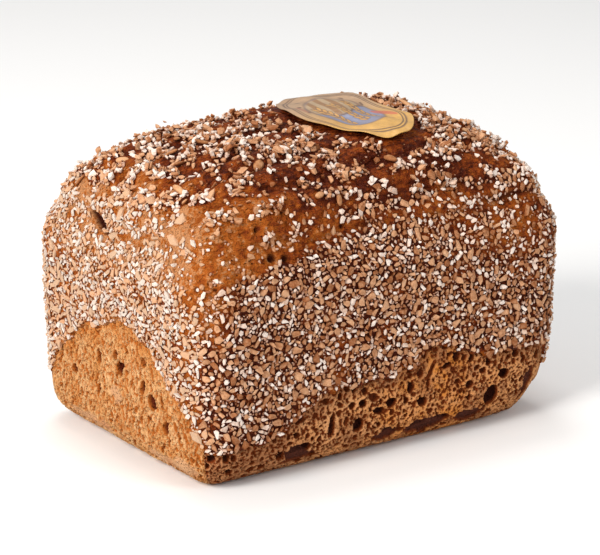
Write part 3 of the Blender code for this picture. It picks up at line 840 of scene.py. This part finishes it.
# Grain pressed into the crust
tanChips = dict(name="grainTan", wallShare=1.0, footShadeStrength=1.25, footShadeFrom=0.12, endPale=0.9, endShare=0.7)
whiteChips = dict(name="grainWhite", footShadeStrength=1.35, footShadeFrom=0.12, endPale=1.3, endShare=0.8)
grainForm = dict(
    seed=23, cell=0.0046, wallLift=0.00066, wallCap=0.0015, domeLift=0.00062, heap=0.0005, endFootShadeCut=0.55,
    pitClear=1.5, stackShare=0.6, stackLift=(0.0006, 0.0013), stackAside=0.0006, chips=9, kernels=4,
    chipSeed=31, kernelSeed=37, boxMargin=0.0001,
    passes=(
        dict(name="grainKernels", size=(0.0064, 0.0026, 0.0013), spread=0.16, space=0.003, darts=1700,
             wallShare=0.0, domeShare=0.42, tilt=(0.1, 0.2), footShadeStrength=1.6, footShadeFrom=0.4, endPale=0.4,
             endShare=0.0),
        dict(tanChips, size=(0.0044, 0.0027, 0.0018), spread=0.24, space=0.00142, darts=4200,
             domeShare=0.6, tilt=(0.42, 0.6)),
        dict(whiteChips, size=(0.0033, 0.0019, 0.0017), spread=0.22, space=0.00104, darts=8000,
             wallShare=0.8, domeShare=0.75, tilt=(0.4, 0.6)),
        dict(tanChips, size=(0.0029, 0.0018, 0.0014), spread=0.3, space=0.00084, darts=34000,
             domeShare=0.95, tilt=(0.48, 0.6)),
        dict(whiteChips, size=(0.0024, 0.0017, 0.0015), spread=0.24, space=0.00074, darts=46000,
             wallShare=0.7, domeShare=0.8, tilt=(0.42, 0.6)),
        dict(name="grainBits", size=(0.0015, 0.001, 0.0009), spread=0.4, space=0.0004, darts=90000,
             wallShare=1.0, domeShare=0.7, tilt=(0.4, 0.6), footShadeStrength=1.15, footShadeFrom=0.12, endPale=0.8,
             endShare=1.0),
    ),
)


# Closes a pulled shape and gives back its places and triangles
def readShape(helper, places, hull):
    mesh = helper.data
    setPlaces(mesh, places)
    with editMode():
        if hull:
            bpy.ops.mesh.convex_hull()
        bpy.ops.mesh.quads_convert_to_tris()
        bpy.ops.mesh.normals_make_consistent(inside=False)
    shape = readRows(mesh.vertices, "co"), readRows(mesh.polygons, "vertices", int)
    bpy.data.objects.remove(helper, do_unlink=True)
    bpy.data.meshes.remove(mesh)
    return shape


# Angular chips: a small ico sphere whose corners are pulled about, closed again by its hull
def chipShape(rng):
    deselectAll()
    bpy.ops.mesh.primitive_ico_sphere_add(subdivisions=1, radius=0.5)
    chip = bpy.context.object
    places = readRows(chip.data.vertices, "co")
    places *= rng.uniform(0.62, 1.25, (len(places), 1))
    places += rng.uniform(-0.1, 0.1, places.shape)
    places[:, 2] = np.clip(places[:, 2], -0.42, rng.uniform(0.22, 0.34))
    return readShape(chip, places, True)


# Whole kernels: a long ball with blunt ends and a crease down one side
def kernelShape(rng):
    deselectAll()
    bpy.ops.mesh.primitive_uv_sphere_add(segments=9, ring_count=7, radius=0.5)
    kernel = bpy.context.object
    places = readRows(kernel.data.vertices, "co")[:, (2, 1, 0)] * np.array((1, 1, -1))
    places[:, 2] -= 0.16 * bump(np.abs(places[:, 1]) / 0.12) * (places[:, 2] > 0)
    places[:, 0] = np.sign(places[:, 0]) * 0.5 * (np.abs(places[:, 0]) * 2) ** 0.88
    places[:, 2] += rng.uniform(-0.3, 0.3) * places[:, 0] ** 2
    places[:, 1] += rng.uniform(-0.35, 0.35) * places[:, 0] ** 2
    places += rng.uniform(-0.025, 0.025, places.shape)
    return readShape(kernel, places, False)


def endGrainLine(place):
    y = place[..., 1]
    return 0.0915 - 0.008 * ramp(-0.02, -0.06, y) - 0.02 * ramp(0, 0.05, y)


# The share of this part of the crust that carries grain
def grainCover(place, normal):
    cover = ramp(-0.0003, 0.001, place[:, 2] - crumbHeight(place)) * (normal[:, 2] > -0.35)
    clusters = grainClusters(place)
    shown = turned(place)
    right = ramp(-0.02, 0.02, shown[:, 0])
    spread = 0.04 + 0.04 * right + 0.86 * clusters
    wall = 1 - 0.3 * ramp(0.1, 0.6, noiseAt(place, 0.01, 89.0))
    thin = ramp(endGrainLine(shown) - 0.005, endGrainLine(shown) + 0.003, place[:, 2])
    wall = wall * (1 - thin * onEnd(place) * (0.93 - 0.72 * clusters))
    wall = wall * (1 - thinGrain(place) * (0.84 - 0.42 * clusters))
    amount = wall + (spread - wall) * ramp(0.101, 0.109, place[:, 2])
    patchy = (0.03 + 0.07 * right) + (0.5 + 0.25 * right) * clusters
    amount = amount + (patchy * 0.8 - amount) * bareBand(place)
    amount = amount * (1 - 0.92 * darkBand(place))
    amount = amount * (1 - 0.8 * bareStreak(place)) * (1 - 0.65 * bareCorner(place))
    amount = amount * (pitMask(place, grainForm["pitClear"]) < 0.1)
    return cover * amount * (labelReach(place) > labelForm["clear"] * (place[:, 2] > 0.11))


# Even random points on the body with their normals
def throwDarts(body, rng, count):
    mesh = body.data
    mesh.calc_loop_triangles()
    corners = readRows(mesh.loop_triangles, "vertices", int)
    places = readRows(mesh.vertices, "co")
    normals = readRows(mesh.vertex_normals, "vector")
    first, second, third = (places[corners[:, i]] for i in range(3))
    area = np.linalg.norm(np.cross(second - first, third - first), axis=1)
    area[np.min(places[corners][:, :, 2], axis=1) < 0.012] = 0
    picked = np.searchsorted(np.cumsum(area), rng.uniform(0, area.sum(), count))
    shares = rng.dirichlet((1, 1, 1), count)[:, :, None]
    spots = (places[corners[picked]] * shares).sum(axis=1)
    facing = unit((normals[corners[picked]] * shares).sum(axis=1))
    return spots, facing


# True where no grain lies too near
def isClear(cells, home, spot, reach):
    for box in product(*(range(value - 1, value + 2) for value in home)):
        if any(math.dist(spot, other) < reach + taken for other, taken in cells.get(box, ())):
            return False
    return True


# Places the grain from the largest kind to the smallest, each clear of what already lies there
def scatterGrain(body):
    rng = np.random.default_rng(grainForm["seed"])
    cells = {}
    placed = []
    for kind in grainForm["passes"]:
        spots, facing = throwDarts(body, rng, kind["darts"])
        dome = ramp(0.102, 0.109, spots[:, 2])
        share = kind["wallShare"] + (kind["endShare"] - kind["wallShare"]) * onEnd(spots)
        share = share + (kind["domeShare"] - share) * dome
        wanted = rng.uniform(0, 1, len(spots)) < grainCover(spots, facing) * share
        spots, facing, dome = spots[wanted], facing[wanted], dome[wanted]
        growth = rng.uniform(1 - kind["spread"], 1 + kind["spread"], len(spots))
        heaped = dome * grainClusters(spots) * (1 - 0.8 * ramp(0.03, 0.065, turned(spots)[:, 0]))
        reaches = kind["space"] * (growth * (1 - 0.12 * heaped))
        kept = []
        for number, (spot, reach) in enumerate(zip(spots.tolist(), reaches.tolist())):
            home = tuple(int(value // grainForm["cell"]) for value in spot)
            if isClear(cells, home, spot, reach):
                cells.setdefault(home, []).append((spot, reach))
                kept.append(number)
        kept = np.array(kept)
        topped = np.zeros(len(kept), dtype=bool)
        if kind["name"] in ("grainTan", "grainWhite"):
            topped = rng.uniform(0, 1, len(kept)) < grainForm["stackShare"] * ramp(0.6, 0.98, heaped[kept])
        both = np.concatenate((kept, kept[topped]))
        raised = np.append(np.zeros(len(kept)), rng.uniform(*grainForm["stackLift"], topped.sum()))
        aside = rng.normal(0, grainForm["stackAside"], (len(both), 3)) * (raised > 0)[:, None]
        placed.append((spots[both] + aside, facing[both], dome[both], heaped[both], growth[both], raised))
        print(kind["name"] + ":", len(both), "grains")
    return placed


# Places, faces and tones of one pass's grains, each a copy of one of the shapes
def layGrains(kind, shapes, spots, facing, dome, heaped, growth, raised, rng):
    pick = rng.integers(0, len(shapes), len(spots))
    places, faces, tones = [], [], []
    offset = 0
    for number, (shape, corners) in enumerate(shapes):
        mine = pick == number
        count = int(mine.sum())
        if not count:
            continue
        normal = facing[mine]
        onDome = dome[mine][:, None]
        helper = np.where(np.abs(normal[:, 2:]) < 0.9, (0.0, 0.0, 1.0), (1.0, 0.0, 0.0))
        across = unit(np.cross(helper, normal))
        spin = rng.uniform(0, 2 * math.pi, count)[:, None]
        first = across * np.cos(spin) + np.cross(normal, across) * np.sin(spin)
        second = np.cross(normal, first)
        lean = kind["tilt"][0] + (kind["tilt"][1] - kind["tilt"][0]) * dome[mine]
        tilt = (lean * rng.normal(0, 1, count)).clip(-1.1, 1.1)[:, None]
        size = np.array(kind["size"]) * growth[mine][:, None] * rng.uniform(0.78, 1.25, (count, 3))
        size = size * (1 + onDome * (0.02, 0.14, 0.26))
        local = shape[None] * size[:, None]
        along = local[..., 0] * np.cos(tilt) - local[..., 2] * np.sin(tilt)
        above = local[..., 0] * np.sin(tilt) + local[..., 2] * np.cos(tilt)
        lift = grainForm["wallLift"] * (1 - onDome) + grainForm["domeLift"] * onDome - 0.12 * size[:, 2:]
        heap = heaped[mine] * rng.uniform(0, grainForm["heap"], count) + raised[mine]
        above = above + lift + heap[:, None]
        cap = grainForm["wallCap"] * (1 - onDome) + 0.01 * onDome
        above = np.minimum(above, cap + 0.00012 * rng.normal(0, 1, (count, 1)))
        world = (spots[mine][:, None] + first[:, None] * along[..., None]
                 + second[:, None] * local[..., 1:2] + normal[:, None] * above[..., None])
        places.append(world.reshape(-1, 3))
        step = offset + len(shape) * np.arange(count)[:, None, None]
        faces.append((corners[None] + step).reshape(-1, 3))
        end = onEnd(spots[mine])
        lit = np.maximum(end, 0.55 * ramp(0.05, 0.085, np.abs(spots[mine][:, 0])) * dome[mine])
        tone = rng.uniform(0, 1, count) - kind["endPale"] * lit
        # darker towards each grain's foot, less so on the ends: painted shade
        foot = ramp(kind["footShadeFrom"], -0.38, shape[:, 2]) * (1 - grainForm["endFootShadeCut"] * end)[:, None]
        tone = tone[:, None] + rng.uniform(-0.22, 0.22, (count, len(shape)))
        tones.append((tone + kind["footShadeStrength"] * foot).ravel())
        offset += len(shape) * count
    return np.vstack(places), np.vstack(faces), np.concatenate(tones)


# One piece for each kind of grain, joined from its passes
def makeGrains(body):
    rng = np.random.default_rng(grainForm["seed"] + 1)
    chipRng = np.random.default_rng(grainForm["chipSeed"])
    kernelRng = np.random.default_rng(grainForm["kernelSeed"])
    chips = [chipShape(chipRng) for _ in range(grainForm["chips"])]
    kernels = [kernelShape(kernelRng) for _ in range(grainForm["kernels"])]
    laid = {}
    for kind, spots in zip(grainForm["passes"], scatterGrain(body)):
        shapes = kernels if kind["name"] == "grainKernels" else chips
        laid.setdefault(kind["name"], []).append(layGrains(kind, shapes, *spots, rng))
    pieces = []
    low, high = np.array(cadBox)
    margin = grainForm["boxMargin"]
    for name, parts in laid.items():
        starts = np.cumsum([0] + [len(places) for places, _, _ in parts])
        places = np.clip(np.vstack([part[0] for part in parts]), low + margin, high - margin)
        faces = np.vstack([part[1] + start for part, start in zip(parts, starts)])
        material = grainMaterial(**grainLooks[name])
        piece = meshObject(name, places, faces.tolist(), material, name == "grainKernels")
        setAttribute(piece.data, "tone", np.concatenate([part[2] for part in parts]))
        print(name + ":", len(faces), "triangles")
        pieces.append(piece)
    return pieces


# Label: a thin wavy paper oval with a plain printed design
printLook = dict(
    paper=(0.4, 0.255, 0.15), gold=(0.66, 0.36, 0.07), line=(0.07, 0.032, 0.024), panel=(0.21, 0.225, 0.33),
    ear=(0.52, 0.27, 0.07), mark=(0.5, 0.085, 0.05), cream=(0.42, 0.31, 0.19), soil=(0.27, 0.135, 0.055),
    fibre=(0.3, 0.2, 0.12), scuff=(0.22, 0.13, 0.08), lines=((0.845, 0.01), (0.895, 0.014)),
)


def inOval(along, across, middle, size, turn=0.0):
    first, second = turnBack(along - middle[0], across - middle[1], turn)
    return ramp(1.06, 0.94, np.hypot(first / size[0], second / size[1]))


# Colour of the print at each point, from -1 to 1 along the label and across it
def labelPrint(along, across):
    reach = np.hypot(along, across)
    colour = np.empty((len(along), 3))
    colour[:] = printLook["paper"]

    def paint(mask, name, strength=1.0):
        share = (mask * strength)[:, None]
        colour[:] = colour * (1 - share) + np.array(printLook[name]) * share

    paint(ramp(0.35, -0.55, along), "gold", 0.85)
    paint(inOval(along, across, (0, 0), (0.58, 0.66)), "line", 0.8)
    inside = inOval(along, across, (0, 0), (0.555, 0.625))
    paint(inside, "panel")
    ground = along + 0.1 * np.sin(5 * across + 1)
    hills = ramp(-0.04, 0.02, ground - 0.02)
    furrows = ramp(-0.3, 0.3, np.sin(26 * across + 9 * along))
    paint(inside * hills, "soil")
    paint(inside * hills * furrows, "cream", 0.8)
    paint(inside * bump(ground / 0.02), "line", 0.8)
    for middle, step, row in product((-0.34, 0.0, 0.34), range(7), (-1, 1)):
        place = -0.36 + 0.1 * step
        spot = (place, middle + 0.045 * row + 0.25 * place * middle)
        paint(inOval(along, across, spot, (0.075, 0.04), 0.45 * row), "line", 0.7)
        paint(inOval(along, across, spot, (0.06, 0.027), 0.45 * row), "ear")
    for side, step in product((-1, 1), range(5)):
        turn = side * (0.9 + 0.22 * (step - 2)) + (math.pi if step % 2 else 0)
        middle = (0.7 * math.cos(turn), 0.7 * math.sin(turn))
        leaf = inOval(along, across, middle, (0.055, 0.028), turn + 0.8)
        paint(leaf, "ear" if step % 2 else "line", 0.75)
    paint(inOval(along, across, (-0.28, -0.6), (0.2, 0.085), 0.35), "mark", 0.75)
    paint(inOval(along, across, (0.3, 0.66), (0.16, 0.06), -0.3), "mark", 0.45)
    for place, wide in printLook["lines"]:
        paint(ramp(wide * 1.3, wide * 0.7, np.abs(reach - place)), "line", 0.85)
    return colour


def paperMaterial():
    made, tree, shader = newMaterial("printed paper", 0.42, 0.5)
    place = objectPlace(tree)
    fibre = noiseNode(tree, place, 0.0007, 4.0, 0.7)
    scuff = noiseNode(tree, place, 0.006, 4.0, 0.65)
    faint = mapValue(tree, fibre, 0.35, 0.75, 0.0, 0.22)
    colour = mixColour(tree, faint, attribute(tree, "print", "Color"), printLook["fibre"])
    colour = mixColour(tree, mapValue(tree, scuff, 0.45, 0.75, 0.0, 0.35), colour, printLook["scuff"])
    normal = bumpNode(tree, fibre, 0.00008, 0.5)
    wireShader(tree, shader, colour, bumpNode(tree, noiseNode(tree, place, 0.009, 2.0), 0.0018, 0.6, normal))
    return made


# The sheet as a grid rolled into a disc of rings, given its thickness by Solidify
def makeLabel():
    deselectAll()
    rings, sides = labelForm["rings"], labelForm["sides"]
    bpy.ops.mesh.primitive_grid_add(x_subdivisions=rings, y_subdivisions=sides, size=2)
    label = bpy.context.object
    label.name = "labelSheet"
    mesh = label.data
    flat = readRows(mesh.vertices, "co")
    angle = math.pi * (flat[:, 1] + 1)
    reach = (flat[:, 0] + 1) / 2
    along = reach * np.cos(angle)
    across = reach * np.sin(angle)
    waves = labelForm["edgeWave"]
    pulled = sum(depth * np.sin(times * angle + start) for times, depth, start in waves)
    pulled = (1 + pulled * reach ** 3) / (1 + sum(depth for _, depth, _ in waves))
    longWay = along * pulled * labelForm["length"] / 2
    wideWay = across * pulled * labelForm["width"] / 2
    x, y = turnBack(longWay, wideWay, -labelForm["turn"])
    x, y = x + labelForm["middle"][0], y + labelForm["middle"][1]
    wave = sum(share * np.sin(one * along + two * across + start)
               for share, one, two, start in labelForm["ripples"])
    z = wallHeight + domeRise(x, y) + labelForm["wave"] * wave + labelForm["curl"] * along ** 2
    setPlaces(mesh, np.stack((x, y, z), axis=1))
    layer = mesh.color_attributes.new("print", "FLOAT_COLOR", "POINT")
    colours = np.hstack((labelPrint(along, across), np.ones((len(flat), 1))))
    layer.data.foreach_set("color", colours.astype(np.float32).ravel())
    with editMode():
        bpy.ops.mesh.remove_doubles(threshold=0.00001)
        bpy.ops.mesh.normals_make_consistent(inside=False)
    if readRows(mesh.vertex_normals, "vector")[:, 2].mean() < 0:
        mesh.flip_normals()
    paper = label.modifiers.new("paper thickness", "SOLIDIFY")
    paper.thickness = labelForm["thickness"]
    paper.offset = -1
    bpy.ops.object.modifier_apply(modifier=paper.name)
    bpy.ops.object.shade_smooth()
    mesh.materials.append(paperMaterial())
    places = readRows(mesh.vertices, "co")
    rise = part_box("label")[1].z - 0.0001 - places[:, 2].max()
    setPlaces(mesh, places + (0, 0, rise))
    print("label:", len(mesh.polygons), "faces")
    return label


# The stage
stage = dict(
    azimuth=math.radians(-34.729), elevation=math.radians(17.629), distance=1.3, lens=184.7,
    target=(0.000195, 0.009603, 0.05), floorSize=8.0, floor=(0.9, 0.9, 0.9, 1), world=(1, 1, 1, 1),
    worldPower=0.42, lightsAim=(0, 0, 0.06),
    lights=(("key", (-1.25, -0.3, 0.85), 0.65, 25.0, (1.0, 0.965, 0.92)),  # place, size, power, colour
            ("side", (0.35, -1.35, 0.95), 0.6, 6.5, (0.96, 0.98, 1.0)),
            ("over", (0.1, 0.45, 1.3), 0.6, 7.0, (1.0, 0.99, 0.97))),
)


def makeStage():
    deselectAll()
    bpy.ops.mesh.primitive_plane_add(size=stage["floorSize"], location=(0, 0, -0.0001))
    floor = bpy.context.object
    floor.name = "floor"
    bpy.ops.object.transform_apply(location=True)
    made, _, shader = newMaterial("pale floor", 0.9, 0.5)
    shader["Base Color"].default_value = stage["floor"]
    floor.data.materials.append(made)
    world = bpy.data.worlds.new("studio")
    world.use_nodes = True
    sky = world.node_tree.nodes["Background"].inputs
    sky["Color"].default_value = stage["world"]
    sky["Strength"].default_value = stage["worldPower"]
    bpy.context.scene.world = world
    for name, place, size, power, colour in stage["lights"]:
        bpy.ops.object.light_add(type="AREA", location=place)
        lamp = bpy.context.object
        lamp.name = name + " light"
        lamp.data.size = size
        lamp.data.energy = power
        lamp.data.color = colour
        away = Vector(stage["lightsAim"]) - Vector(place)
        lamp.rotation_euler = away.to_track_quat("-Z", "Y").to_euler()


def makeCamera():
    azimuth, elevation = stage["azimuth"], stage["elevation"]
    right = Vector((math.cos(azimuth), math.sin(azimuth), 0))
    back = Vector((math.sin(azimuth) * math.cos(elevation), -math.cos(azimuth) * math.cos(elevation),
                   math.sin(elevation)))
    aside, up, height = stage["target"]
    target = right * aside + back.cross(right) * up + Vector((0, 0, height))
    bpy.ops.object.camera_add(location=target + back * stage["distance"])
    camera = bpy.context.object
    camera.rotation_euler = (-back).to_track_quat("-Z", "Y").to_euler()
    camera.data.lens = stage["lens"]
    camera.data.sensor_width = 36
    camera.data.clip_end = 50
    bpy.context.scene.camera = camera
    bpy.context.scene.view_settings.view_transform = "Standard"


body = makeBody()
crumbMaterials = (crumbMaterial("open crumb", sideLook), crumbMaterial("close crumb", endLook))
crumbs = [makeCrumb(wall, name, crumbMaterials[wall % 2])
          for wall, name in enumerate(("crumbNear", "crumbFarEnd", "crumbFar", "crumbEnd"))]
grains = makeGrains(body)
label = makeLabel()
for piece in (body, *crumbs, *grains):
    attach(piece, "root")
    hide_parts("loaf")
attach(label, "root")
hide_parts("label")
makeStage()
makeCamera()
print("stage and camera set")
